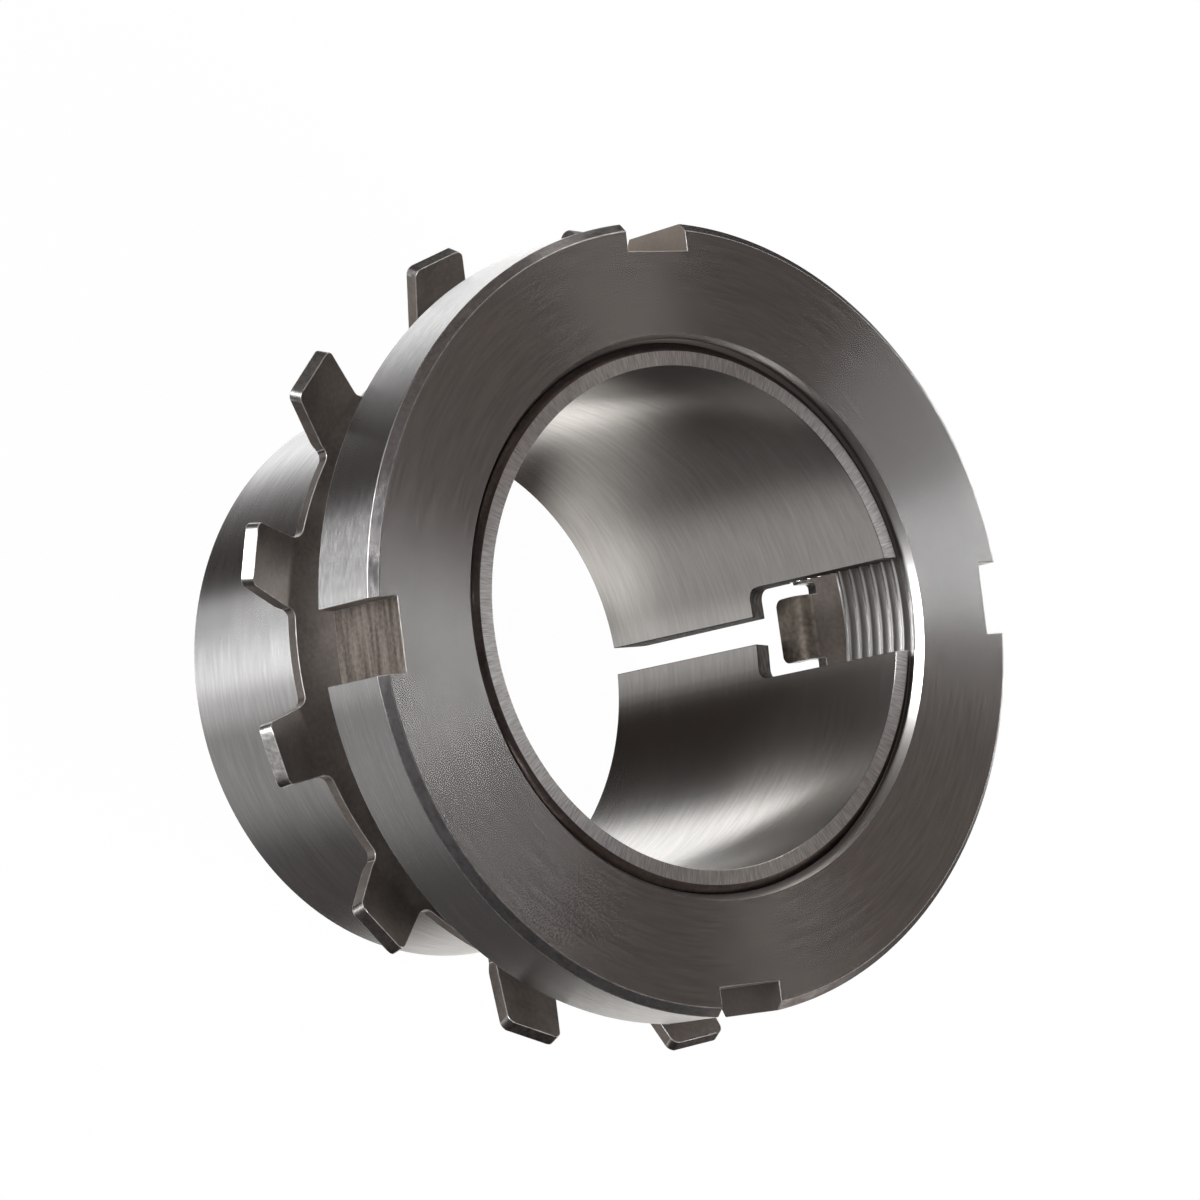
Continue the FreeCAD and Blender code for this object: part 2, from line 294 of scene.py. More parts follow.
def sleeve_section(part, bore_top, taper_top):
    """The closed outline of the sleeve's wall part of the way round, from the bore's foot and back."""

    def at(radius, height):
        return polar(radius, sleeve_angle(part, radius), height)

    angle = sleeve_angle(part, THREAD_R)
    line = [at(BORE_R, height) for height in steps(0, bore_top, WALL_ROWS)]
    line += [at(BORE_R, height) for height in steps(bore_top, SLEEVE_LENGTH, WALL_ROWS)[1:]]
    line.append(at(END_ROW_R, SLEEVE_LENGTH))
    for height in reversed(helix_rows(THREAD_FROM, SLEEVE_LENGTH, angle)):
        line.append(at(sleeve_thread_radius(height, angle), height))
    heights = steps(THREAD_FROM, taper_top, 2)[1:] + steps(taper_top, BASE_CHAMFER, WALL_ROWS)[1:]
    line += [at(taper_radius(height), height) for height in heights]
    return line + foot(at)[::-1] + line[:1]


def slit_section(x):
    """The outline of the wall under the keyway, x from its middle: down the bore and up the taper."""

    def at(radius, height):
        return (x, math.sqrt(radius ** 2 - x ** 2), height)

    line = [at(BORE_R, height) for height in reversed(steps(0, keyway_end(x, bore_radius), WALL_ROWS))]
    line += foot(at)
    taper_rows = steps(BASE_CHAMFER, keyway_end(x, taper_radius), WALL_ROWS)
    return line + [at(taper_radius(height), height) for height in taper_rows]


def sleeve_finish(corners, finish):
    if lowest(corners) > SLEEVE_LENGTH - NEAR:
        return "end"
    if widest(corners) < BORE_R + NEAR:
        return "bore"
    if lowest(corners) > SLEEVE_LENGTH - END_CHAMFER - NEAR:
        return "chamfer"
    return finish


def on_sleeve_thread(point):
    return point[2] > THREAD_FROM + 0.01 and radius_of(point) > THREAD_R - END_CHAMFER - 0.02


def add_keyway_side(shell, side, slit, section, bore_top, taper_top):
    """One side of the keyway and slit. section is the sleeve's outline that the keyway's wall closes."""
    inner = side * (KEYWAY_HALF - KEYWAY_CORNER)
    across = [inner + side * KEYWAY_CORNER * math.cos(turn) for turn in steps(0, TURN / 4, 7)]
    across += steps(inner, slit, 3)[1:]
    strip = [slit_section(x) for x in across]
    end_wall = []
    for line in strip:
        first, last = Vector(line[0]), Vector(line[-1])
        end_wall.append([tuple(first.lerp(last, part)) for part in steps(0, 1, 2)])
    shell.grid([line[:WALL_ROWS + 1] for line in strip], "bore")
    shell.grid([line[WALL_ROWS:] for line in strip])
    shell.grid(end_wall, "cut")
    shell.face(strip[-1] + [end_wall[-1][1]], "cut")
    inside = [point for point in section if radius_of(point) < BORE_R + 0.01]
    outside = [point for point in section if radius_of(point) > BORE_R + 0.01]
    wall = [point for point in inside if point[2] > bore_top - NEAR]
    wall += [point for point in outside if point[2] > taper_top - NEAR]
    shell.face(wall + [end_wall[0][1]], "cut")


def make_sleeve(materials):
    shell = Shell()
    tops = [keyway_end(KEYWAY_HALF, radius_at) for radius_at in (bore_radius, taper_radius)]
    sections = [sleeve_section(part, *tops) for part in steps(0, 1, SLEEVE_COLUMNS)]
    shell.grid(sections)
    shell.refinish(sleeve_finish)
    add_keyway_side(shell, 1, SLIT_RIGHT, sections[-1], *tops)
    add_keyway_side(shell, -1, SLIT_LEFT, sections[0], *tops)
    shell.piece(
        "sleeve_visual", "sleeve", "sleeve", "sleeve_steel", materials, EDGE_BREAK, on_sleeve_thread
    )


# Nut


def nut_cone(radius):
    return NUT_BACK + (radius - NUT_SEAT_R) * NUT_REAR_SLOPE


def nut_bore_radius(height, angle):
    """Radius of the threaded bore, whose groove takes the sleeve's crest and fades in behind the mouth."""
    groove = (NUT_BORE_R - NUT_CREST_R) * smooth_step(NUT_FRONT - height, NUT_FADE_FROM, NUT_FADE_TO)
    radius = NUT_CREST_R + groove * thread_depth(height, angle - TURN / 2)
    front_mouth = NUT_MOUTH_R - (NUT_FRONT - height) * NUT_MOUTH_SLOPE
    back_mouth = NUT_MOUTH_R - (height - NUT_BACK)
    return max(radius, front_mouth, back_mouth)


def nut_bore_line(angle):
    heights = helix_rows(NUT_BACK, NUT_FRONT, angle)
    return [polar(nut_bore_radius(height, angle), angle, height) for height in heights]


def nut_angle(slot, part, radius):
    """The angle part of the way from a slot to the next one, at a radius."""
    edge = math.asin(SLOT_HALF / max(radius, SLOT_WALL_R))
    return slot * TURN / 4 + edge + part * (TURN / 4 - 2 * edge)


def beside_slot(slot, part, radius, height):
    return polar(radius, nut_angle(slot, part, radius), height)


def nut_outside(at):
    """The nut's outline beyond the slots' floors, from its front face over its rim to its rear cone."""
    line = [at(SLOT_WALL_R, NUT_FRONT), at(NUT_R - NUT_FRONT_CHAMFER, NUT_FRONT)]
    line += [at(NUT_R, height) for height in steps(NUT_FRONT - NUT_FRONT_CHAMFER, nut_cone(NUT_R), 4)]
    return line + [at(radius, nut_cone(radius)) for radius in steps(NUT_R, SLOT_WALL_R, 3)[1:]]


def nut_section(slot, part):
    """The nut's closed outline part of the way from a slot to the next one."""
    at = partial(beside_slot, slot, part)
    line = nut_bore_line(nut_angle(slot, part, SLOT_WALL_R))
    line.append(at(FACE_ROW_R, NUT_FRONT))
    line += nut_outside(at)
    return line + [at(NUT_SEAT_R, NUT_BACK), at(FACE_ROW_R, NUT_BACK), line[0]]


def slot_wall(slot, part):
    """A slot's wall, at part 0 or 1 of that way, closed along the corner of the slot's floor."""
    at = partial(beside_slot, slot, part)
    corner = steps(nut_cone(SLOT_WALL_R), NUT_FRONT, 5)[1:-1]
    return nut_outside(at) + [at(SLOT_WALL_R, height) for height in corner]


def add_slot_floor(shell, middle):
    """The nut's ring where a slot is, with the slot's floor."""
    fronts = []
    backs = []
    floors = []
    for across in steps(-SLOT_HALF, SLOT_HALF, 6):
        angle = middle + math.atan2(across, SLOT_FLOOR)
        reach = math.hypot(across, SLOT_FLOOR)
        front = nut_bore_line(angle) + [polar(radius, angle, NUT_FRONT) for radius in (FACE_ROW_R, reach)]
        floor = [polar(reach, angle, height) for height in steps(NUT_FRONT, nut_cone(reach), 5)]
        seat = [polar(radius, angle, NUT_BACK) for radius in (NUT_SEAT_R, FACE_ROW_R)]
        fronts.append(front)
        backs.append([floor[-1], *seat, front[0]])
        floors.append(floor)
    shell.grid(fronts)
    shell.grid(backs)
    shell.grid(floors, "cut")


def nut_finish(corners, finish):
    if widest(corners) < NUT_MOUTH_R + NEAR:
        return "thread"
    if lowest(corners) > NUT_FRONT - NEAR:
        return "face"
    if lowest(corners) > NUT_FRONT - NUT_FRONT_CHAMFER - NEAR and finish == "skin":
        return "chamfer"
    return finish


def on_nut_thread(point):
    return radius_of(point) < NUT_MOUTH_R + 0.05


def make_nut(materials):
    """The nut. Two slots' walls, which face the camera, have shaded and lit copies of the milled finish: the
    low one darker as painted shade, the top one lighter as painted light.
    """
    shell = Shell()
    for slot in range(SLOT_COUNT):
        shell.grid([nut_section(slot, part) for part in steps(0, 1, NUT_COLUMNS)])
        shell.face(slot_wall(slot, 0), "low wall" if slot == 0 else "cut")
        shell.face(slot_wall(slot, 1), "top wall" if slot == 1 else "cut")
        add_slot_floor(shell, slot * TURN / 4)
    shell.refinish(nut_finish)
    shell.piece(
        "nut_visual", "nut", "lock_nut", "nut_steel", materials, EDGE_BREAK, on_nut_thread, "edge"
    )


# Washer. Along runs outwards from the axis on a tab, and from the bend's start on the tongue.


SHARE_HALF = TURN / TAB_COUNT / 2
ACROSS_PARTS = (-1, -0.7, -0.35, 0, 0.35, 0.7, 1)

# The washer leans. Its height leaves the seat gap between the lowest edge of its hole and the taper.

WASHER_LOW_R = HOLE_R * math.cos(WASHER_LEAN) - SHEET * math.sin(WASHER_LEAN)
WASHER_LOW = THREAD_FROM - (WASHER_LOW_R - WASHER_SEAT_GAP - THREAD_R) * 2 * TAPER_RATIO
WASHER_HEIGHT = WASHER_LOW + HOLE_R * math.sin(WASHER_LEAN) + SHEET * math.cos(WASHER_LEAN)
WASHER_LEAN_AXIS = Vector((math.sin(WASHER_LEAN_HEADING), -math.cos(WASHER_LEAN_HEADING), 0))
WASHER_PLACE = Matrix.Translation((0, 0, WASHER_HEIGHT)) @ Matrix.Rotation(WASHER_LEAN, 4, WASHER_LEAN_AXIS)

TAB_SETBACK = TAB_BEND_RADIUS * math.tan(TAB_BEND / 2)
TAB_BEND_FROM = TAB_BEND_AT - TAB_SETBACK
TAB_BEND_TO = TAB_BEND_FROM + TAB_BEND_RADIUS * TAB_BEND
TAB_TIP = TAB_BEND_TO + TAB_REACH - TAB_BEND_AT - TAB_SETBACK
ROOT_CENTRE_R = RIM_R + TAB_ROOT_CORNER
ROOT_CENTRE_ACROSS = TAB_ROOT_HALF + TAB_ROOT_CORNER
ROOT_CENTRE_ALONG = math.sqrt(ROOT_CENTRE_R ** 2 - ROOT_CENTRE_ACROSS ** 2)
ROOT_ANGLE = math.asin(ROOT_CENTRE_ACROSS / ROOT_CENTRE_R)

TONGUE_BEND_AT = TONGUE_FACE + SHEET + TONGUE_BEND_RADIUS
TONGUE_ARC_R = TONGUE_BEND_RADIUS + SHEET
TONGUE_BEND_LENGTH = TONGUE_ARC_R * TURN / 4
TONGUE_LENGTH = TONGUE_BEND_LENGTH + TONGUE_DROP - TONGUE_ARC_R


def corner_rows(end, corner):
    """Distances along a tab or the tongue, over the rounded corners at its end."""
    return [end - corner + corner * math.sin(turn) for turn in steps(0, TURN / 4, CORNER_STEPS)[1:]]


TAB_ROWS = steps(TAB_BEND_FROM, TAB_BEND_TO, 6)
TAB_ROWS += steps(TAB_BEND_TO, TAB_TIP - TAB_TIP_CORNER, 5)[1:]
TAB_ROWS += corner_rows(TAB_TIP, TAB_TIP_CORNER)
TONGUE_ROWS = steps(0, TONGUE_BEND_LENGTH, 8) + [TONGUE_LENGTH - TONGUE_CORNER]
TONGUE_ROWS += corner_rows(TONGUE_LENGTH, TONGUE_CORNER)


def tab_heading(tab):
    return TAB_FIRST + tab * TURN / TAB_COUNT


def in_plan(heading, along, across):
    """A point seen from above, along a heading and across it."""
    cos = math.cos(heading)
    sin = math.sin(heading)
    return (along * cos - across * sin, along * sin + across * cos)


def on_ring(x, y, depth):
    """A point of the flat ring, at a depth in the sheet below its front face."""
    return tuple(WASHER_PLACE @ Vector((x, y, -depth)))


def on_tab(tab, along, across, depth):
    """A point of a tab beyond its bend line, where the sheet bends up."""
    turn = min((along - TAB_BEND_FROM) / TAB_BEND_RADIUS, TAB_BEND)
    straight = max(along - TAB_BEND_TO, 0.0)
    radius = TAB_BEND_RADIUS + depth
    out = TAB_BEND_FROM + radius * math.sin(turn) + straight * math.cos(turn)
    up = TAB_BEND_RADIUS - radius * math.cos(turn) + straight * math.sin(turn)
    return tuple(WASHER_PLACE @ Vector((*in_plan(tab_heading(tab), out, across), up)))


def on_tongue(across, along, depth):
    """A point of the tongue, which bends down into the keyway."""
    turn = min(along / TONGUE_ARC_R, TURN / 4)
    straight = max(along - TONGUE_BEND_LENGTH, 0.0)
    radius = TONGUE_ARC_R - depth
    y = TONGUE_BEND_AT - radius * math.sin(turn)
    z = radius * math.cos(turn) - TONGUE_ARC_R - straight
    return tuple(WASHER_PLACE @ Vector((across, y, z)))


def tab_half(along):
    """Half a tab's width, with its rounded corners at the root and the tip."""
    half = TAB_ROOT_HALF + (TAB_TIP_HALF - TAB_ROOT_HALF) * (along - RIM_R) / (TAB_TIP - RIM_R)
    before = max(ROOT_CENTRE_ALONG - along, 0.0)
    past = max(along - (TAB_TIP - TAB_TIP_CORNER), 0.0)
    half += TAB_ROOT_CORNER - math.sqrt(TAB_ROOT_CORNER ** 2 - before ** 2)
    return half - TAB_TIP_CORNER + math.sqrt(max(TAB_TIP_CORNER ** 2 - past ** 2, 0.0))


def tongue_half(along):
    past = max(along - (TONGUE_LENGTH - TONGUE_CORNER), 0.0)
    return TONGUE_HALF - TONGUE_CORNER + math.sqrt(max(TONGUE_CORNER ** 2 - past ** 2, 0.0))


def circle(radius, start, end, count):
    return [(radius * math.cos(angle), radius * math.sin(angle)) for angle in steps(start, end, count)]


def root_corner():
    """The rounded corner from the rim to a tab, up to the bend line, as pairs of along and across."""
    start = math.atan2(ROOT_CENTRE_ALONG, ROOT_CENTRE_ACROSS)
    points = []
    for angle in steps(TURN / 2 + start, TURN / 2, CORNER_STEPS):
        along = ROOT_CENTRE_ALONG + TAB_ROOT_CORNER * math.sin(angle)
        across = ROOT_CENTRE_ACROSS + TAB_ROOT_CORNER * math.cos(angle)
        if along < TAB_BEND_FROM - 0.01:
            points.append((along, across))
    return points


def ring_outside(middle):
    """The rim round one tab: up to its bend line, the points on that, and from it on."""
    half = tab_half(TAB_BEND_FROM)
    bend = [in_plan(middle, TAB_BEND_FROM, half * part) for part in ACROSS_PARTS]
    corner = root_corner()
    before = circle(RIM_R, middle - SHARE_HALF, middle - ROOT_ANGLE, RIM_STEPS)[:-1]
    before += [in_plan(middle, along, -across) for along, across in corner] + bend[:1]
    after = bend[-1:] + [in_plan(middle, along, across) for along, across in reversed(corner)]
    after += circle(RIM_R, middle + ROOT_ANGLE, middle + SHARE_HALF, RIM_STEPS)[1:]
    return before, bend[1:-1], after


def ring_inside(tab, middle):
    """The hole's edge inside one tab. At the first one it has two notches and the tongue's bend line."""
    start = middle - SHARE_HALF
    end = middle + SHARE_HALF
    if tab:
        return circle(HOLE_R, start, end, 10), [], []
    notch_angle = math.asin(NOTCH_HALF / HOLE_R)
    corner = []
    for turn in steps(0, TURN / 4, 4):
        x = NOTCH_HALF - NOTCH_CORNER + NOTCH_CORNER * math.cos(turn)
        y = NOTCH_EDGE - NOTCH_CORNER + NOTCH_CORNER * math.sin(turn)
        corner.append((x, y))
    corner.append((TONGUE_HALF, NOTCH_EDGE))
    bend = [(-TONGUE_HALF * part, TONGUE_BEND_AT) for part in ACROSS_PARTS]
    before = circle(HOLE_R, start, TURN / 4 - notch_angle, 3) + corner + bend[:1]
    after = bend[-1:] + [(-x, y) for x, y in reversed(corner)]
    after += circle(HOLE_R, TURN / 4 + notch_angle, end, 3)
    return before, bend[1:-1], after


def add_edge(shell, outline, place, finish="skin"):
    """The sheet's edge along an outline. place puts a pair of its values at a depth in the sheet."""
    shell.grid([[place(*pair, depth) for pair in outline] for depth in steps(0, SHEET, 2)], finish)


def add_ring_share(shell, tab):
    middle = tab_heading(tab)
    rim_before, rim_bend, rim_after = ring_outside(middle)
    hole_before, hole_bend, hole_after = ring_inside(tab, middle)
    hole = hole_before + hole_bend + hole_after
    for depth in (0, SHEET):
        shell.face([on_ring(x, y, depth) for x, y in rim_before + rim_bend + rim_after + hole[::-1]])
    for outline in (hole_before, hole_after):
        add_edge(shell, outline, on_ring, "cut")
    for outline in (rim_before, rim_after):
        add_edge(shell, outline, on_ring)


def add_tab(shell, tab):
    """One bent tab. The end of its edge shows sheared metal."""
    for depth in (0, SHEET):
        rows = []
        for along in TAB_ROWS:
            rows.append([on_tab(tab, along, tab_half(along) * part, depth) for part in ACROSS_PARTS])
        shell.grid(rows)
    border = [(along, -tab_half(along)) for along in TAB_ROWS]
    border += [(TAB_TIP, tab_half(TAB_TIP) * part) for part in ACROSS_PARTS[1:-1]]
    border += [(along, tab_half(along)) for along in reversed(TAB_ROWS)]
    side = len(TAB_ROWS) - CORNER_STEPS
    place = partial(on_tab, tab)
    add_edge(shell, border[:side], place)
    add_edge(shell, border[side - 1:1 - side], place, "cut")
    add_edge(shell, border[-side:], place)


def add_tongue(shell):
    # The tongue's front face takes the tongue finish, the lighter copy of the sheet with painted light.
    for depth, finish in ((0, "tongue"), (SHEET, "skin")):
        rows = []
        for along in TONGUE_ROWS:
            half = tongue_half(along)
            rows.append([on_tongue(-half * part, along, depth) for part in ACROSS_PARTS])
        shell.grid(rows, finish)
    end_half = tongue_half(TONGUE_LENGTH)
    border = [(tongue_half(along), along) for along in TONGUE_ROWS]
    border += [(-end_half * part, TONGUE_LENGTH) for part in ACROSS_PARTS[1:-1]]
    border += [(-tongue_half(along), along) for along in reversed(TONGUE_ROWS)]
    add_edge(shell, border, on_tongue, "cut")


def make_washer(materials):
    shell = Shell()
    for tab in range(TAB_COUNT):
        add_ring_share(shell, tab)
        add_tab(shell, tab)
    add_tongue(shell)
    shell.piece(
        "washer_visual", "washer", "lock_washer", "washer_steel", materials, SHEET_EDGE_BREAK,
        edge_finish="edge",
    )


# Materials. Colours go from color to light, and noise scales count changes in a metre.


# The numbers of a Mix node's sockets for two colours, and of the one for their mixture

MIX_COLOR_ONE = 6
MIX_COLOR_TWO = 7
MIX_COLOR_OUT = 2

# Turned steel has wide bands under its fine rings, and dashes on some of it.

BAND_STREAK = 0.8
BAND_RATIO = 0.12
DASH_STREAK = 40
DASH_RINGS = 7000.0
DASH_LIFT = -0.03


class Finish:
    """A node material for worked steel, with a few helpers that keep its graph short."""

    def __init__(self, name, color, roughness, anisotropy=0.0, metal=1.0):
        self.material = bpy.data.materials.new(name)
        self.material.use_nodes = True
        self.material.diffuse_color = (*color, 1)
        self.tree = self.material.node_tree
        self.shader = self.tree.nodes["Principled BSDF"]
        self.set("Metallic", metal)
        self.set("Base Color", (*color, 1))
        self.set("Roughness", roughness)
        self.set("Anisotropic", anisotropy)
        self.set("Anisotropic Rotation", 0.25)
        if anisotropy:
            tangent = self.node("ShaderNodeTangent", direction_type="RADIAL", axis="Z")
            self.set("Tangent", tangent.outputs[0])
        self.place = self.node("ShaderNodeTexCoord").outputs["Object"]

    def node(self, kind, **values):
        made = self.tree.nodes.new(kind)
        for name, value in values.items():
            setattr(made, name, value)
        return made

    def link(self, source, target):
        """Joins an output to a socket, or sets the socket where source is a plain value."""
        if hasattr(source, "is_output"):
            self.tree.links.new(source, target)
        else:
            target.default_value = source

    def set(self, name, source):
        self.link(source, self.shader.inputs[name])

    def math(self, operation, one, two=0.0):
        made = self.node("ShaderNodeMath", operation=operation)
        self.link(one, made.inputs[0])
        self.link(two, made.inputs[1])
        return made.outputs[0]

    def share(self, one, part, two):
        """One value for its part, and the other for the rest."""
        return self.math("ADD", self.math("MULTIPLY", one, part), self.math("MULTIPLY", two, 1 - part))

    def noise(self, vector, scale, detail):
        made = self.node("ShaderNodeTexNoise")
        self.link(vector, made.inputs["Vector"])
        self.link(scale, made.inputs["Scale"])
        self.link(detail, made.inputs["Detail"])
        return made

    def clouds(self, scale, detail):
        return self.noise(self.place, scale, detail).outputs["Fac"]

    def scaled(self, vector, sizes):
        made = self.node("ShaderNodeVectorMath", operation="MULTIPLY")
        self.link(vector, made.inputs[0])
        made.inputs[1].default_value = sizes
        return made.outputs[0]

    def rings(self, streak, fine, detail):
        """Noise in rings round the axis, fine of them in a metre. A larger streak gives shorter marks."""
        split = self.node("ShaderNodeSeparateXYZ")
        self.link(self.place, split.inputs[0])
        x, y, z = split.outputs
        square = self.math("ADD", self.math("MULTIPLY", x, x), self.math("MULTIPLY", y, y))
        radius = self.math("SQRT", square)
        circle = self.node("ShaderNodeCombineXYZ")
        self.link(self.math("DIVIDE", x, radius), circle.inputs[0])
        self.link(self.math("DIVIDE", y, radius), circle.inputs[1])
        made = self.noise(self.scaled(circle.outputs[0], (streak, streak, streak)), 1.0, detail)
        made.noise_dimensions = "4D"
        self.link(self.math("MULTIPLY", self.math("ADD", radius, z), fine), made.inputs["W"])
        return made.outputs["Fac"]

    def range(self, value, low, high, to_low, to_high):
        made = self.node("ShaderNodeMapRange")
        for number, socket in zip((value, low, high, to_low, to_high), made.inputs):
            self.link(number, socket)
        return made.outputs[0]

    def tint(self, tone, low, high, color, light):
        """Gives the base colour color where tone is low and light where it is high."""
        made = self.node("ShaderNodeMix", data_type="RGBA")
        self.link(self.range(tone, low, high, 0, 1), made.inputs["Factor"])
        self.link((*color, 1), made.inputs[MIX_COLOR_ONE])
        self.link((*light, 1), made.inputs[MIX_COLOR_TWO])
        self.set("Base Color", made.outputs[MIX_COLOR_OUT])

    def bump(self, height, strength, depth, normal=None):
        """A bump of a depth in millimetres, on top of another one where normal is given."""
        made = self.node("ShaderNodeBump")
        self.link(strength, made.inputs["Strength"])
        self.link(depth * MM, made.inputs["Distance"])
        self.link(height, made.inputs["Height"])
        if normal is not None:
            self.link(normal, made.inputs["Normal"])
        return made.outputs[0]


def grey(level):
    return (level, level, level)


def turned_steel(name, color, light, roughness, spread, anisotropy, fine, streak, depth, dashed=False):
    """Steel turned or ground round the axis: fine rings on wider ones, with clouds or short dashes.

    spread is how far the roughness varies either way, and depth the height of the rings in millimetres.
    """
    finish = Finish(name, color, roughness, anisotropy)
    lines = finish.rings(streak, fine, 3.0)
    bands = finish.rings(BAND_STREAK, fine * BAND_RATIO, 2.0)
    if dashed:
        marks = finish.rings(DASH_STREAK, DASH_RINGS, 2.0)
        lines = finish.math("MAXIMUM", lines, finish.math("ADD", marks, DASH_LIFT))
    else:
        marks = finish.clouds(90.0, 3.0)
    finish.tint(finish.share(lines, 0.75, bands), 0.32, 0.68, color, light)
    finish.set("Roughness", finish.range(marks, 0.35, 0.65, roughness - spread, roughness + spread))
    finish.set("Normal", finish.bump(lines, 0.5, depth))
    return finish.material


def cut_steel(name, color, light, roughness, sizes, depth, metal=1.0):
    """Steel that was milled, sawn or sheared: short marks along one direction and bright flecks."""
    finish = Finish(name, color, roughness, metal=metal)
    marks = finish.noise(finish.scaled(finish.place, sizes), 1.0, 4.0).outputs["Fac"]
    flecks = finish.clouds(2600.0, 2.0)
    finish.tint(finish.share(marks, 0.7, flecks), 0.38, 0.66, color, light)
    finish.set("Roughness", finish.range(marks, 0.3, 0.7, roughness + 0.08, roughness - 0.08))
    finish.set("Normal", finish.bump(marks, 0.6, depth))
    return finish.material


def plain_steel(name, color, roughness):
    """Cleanly cut steel, the same all over."""
    return Finish(name, color, roughness).material


def brushed_end(name, color, light, roughness, anisotropy):
    """A turned end face finished by hand: close scratches that run across the ring."""
    finish = Finish(name, color, roughness, anisotropy)
    scratches = finish.rings(260, 900.0, 3.0)
    finish.tint(scratches, 0.35, 0.65, color, light)
    finish.set("Normal", finish.bump(scratches, 0.6, 0.012))
    return finish.material


def rolled_sheet(name, color, light, roughness, metal, dents=0.006):
    """Dark steel as it comes from rolling and hardening: mottled and a little brown."""
    finish = Finish(name, color, roughness, metal=metal)
    clouds = finish.clouds(240.0, 4.0)
    grain = finish.clouds(2400.0, 2.0)
    ripple = finish.clouds(900.0, 2.0)
    finish.tint(finish.share(clouds, 0.65, grain), 0.36, 0.64, color, light)
    finish.set("Roughness", finish.range(clouds, 0.3, 0.7, roughness - 0.08, roughness + 0.08))
    finish.set("Normal", finish.bump(ripple, 0.5, dents, finish.bump(grain, 0.5, 0.006)))
    return finish.material


make_sleeve({
    "skin": turned_steel(
        "sleeve_ground", grey(0.44), grey(0.58), roughness=0.245, spread=0.012, anisotropy=1.0,
        fine=2600.0, streak=6.0, depth=0.0012,
    ),
    # The slit's and keyway's walls: milled steel whose near-black colour is painted shade of the recess.
    "cut": cut_steel(
        "sleeve_milled_painted_shade", (0.030, 0.026, 0.023), (0.10, 0.086, 0.077), roughness=0.75,
        sizes=(900, 900, 2600), depth=0.02, metal=0.3,
    ),
    "end": brushed_end(
        "sleeve_end", (0.38, 0.37, 0.365), (0.66, 0.655, 0.65), roughness=0.42, anisotropy=0.7,
    ),
    "bore": turned_steel(
        "sleeve_bore", (0.36, 0.35, 0.337), (0.44, 0.43, 0.415), roughness=0.25, spread=0.006,
        anisotropy=0.60, fine=2600.0, streak=6.0, depth=0.0004,
    ),
    "chamfer": cut_steel(
        "sleeve_chamfer", (0.13, 0.105, 0.098), (0.24, 0.205, 0.19), roughness=0.42,
        sizes=(200, 200, 2400), depth=0.004,
    ),
})

make_nut({
    "skin": turned_steel(
        "nut_turned", grey(0.38), grey(0.50), roughness=0.245, spread=0.020, anisotropy=1.0,
        fine=3600.0, streak=8.0, depth=0.0012, dashed=True,
    ),
    "cut": cut_steel(
        "nut_milled", (0.13, 0.105, 0.087), (0.40, 0.345, 0.30), roughness=0.40,
        sizes=(150, 150, 1500), depth=0.03, metal=0.6,
    ),
    # The nut's broken edges: a partly matt finish for thin light lines along them, partly burrs and partly
    # painted highlight.
    "edge": cut_steel(
        "nut_edge_painted_highlight", (0.25, 0.245, 0.24), (0.50, 0.49, 0.48), roughness=0.36,
        sizes=(900, 900, 900), depth=0.01, metal=0.8,
    ),
    "chamfer": cut_steel(
        "nut_chamfer", (0.20, 0.19, 0.195), (0.36, 0.35, 0.355), roughness=0.22,
        sizes=(600, 600, 2400), depth=0.008, metal=0.9,
    ),
    "thread": plain_steel("nut_thread", (0.60, 0.59, 0.58), roughness=0.29),
    # Painted shade: the low slot's wall, milled steel made darker than the other milled walls.
    "low wall": rolled_sheet(
        "nut_milled_low_painted_shade", (0.105, 0.089, 0.083), (0.14, 0.119, 0.110), roughness=0.45, metal=0.6,
    ),
    "face": turned_steel(
        "nut_face", grey(0.38), grey(0.50), roughness=0.26, spread=0.006, anisotropy=0.95,
        fine=3600.0, streak=8.0, depth=0.0006,
    ),
    # Painted light: the top slot's wall, milled steel made lighter and browner than the other milled walls.
    "top wall": rolled_sheet(
        "nut_milled_top_painted_light", (0.31, 0.265, 0.225), (0.38, 0.330, 0.285), roughness=0.42, metal=0.6,
    ),
})

make_washer({
    "skin": rolled_sheet(
        "washer_rolled", (0.16, 0.135, 0.12), (0.26, 0.225, 0.20), roughness=0.42, metal=0.62,
    ),
    "cut": cut_steel(
        "washer_sheared", (0.20, 0.19, 0.18), (0.58, 0.57, 0.56), roughness=0.34,
        sizes=(1500, 1500, 900), depth=0.03,
    ),
    # The washer's broken edges: pale and partly matt, so they show as bright lines, partly burrs and partly
    # painted highlight.
    "edge": cut_steel(
        "washer_edge_painted_highlight", (0.40, 0.39, 0.38), (0.80, 0.79, 0.78), roughness=0.45,
        sizes=(900, 900, 900), depth=0.01, metal=0.5,
    ),
    # Painted light: the tongue's face is a lighter copy of the washer's rolled sheet, its pale blotches a
    # painted sheen; its dents are a real bump.
    "tongue": rolled_sheet(
        "washer_tongue_painted_light", (0.17, 0.14, 0.12), (0.52, 0.46, 0.39), roughness=0.56, metal=0.75,
        dents=0.08,
    ),
})


# Floor, backdrop and light. The floor, the lamps and their distances are in metres.


class Tree:
    """The nodes of one world or material, with a short helper to add and join them."""

    def __init__(self, owner):
        owner.use_nodes = True
        self.tree = owner.node_tree
        self.tree.nodes.clear()

    def add(self, kind, *inputs, **settings):
        """Adds a node. Each input, in the sockets' order, is a value or the output that it is joined to.

        None leaves a socket as it is.
        """
        made = self.tree.nodes.new(kind)
        for name, value in settings.items():
            setattr(made, name, value)
        for socket, source in zip(made.inputs, inputs):
            if source is None:
                continue
            if hasattr(source, "is_output"):
                self.tree.links.new(source, socket)
            else:
                socket.default_value = source
        return made.outputs


def direction(azimuth, elevation):
    turn = math.radians(azimuth)
    rise = math.radians(elevation)
    return Vector((math.cos(turn) * math.cos(rise), math.sin(turn) * math.cos(rise), math.sin(rise)))


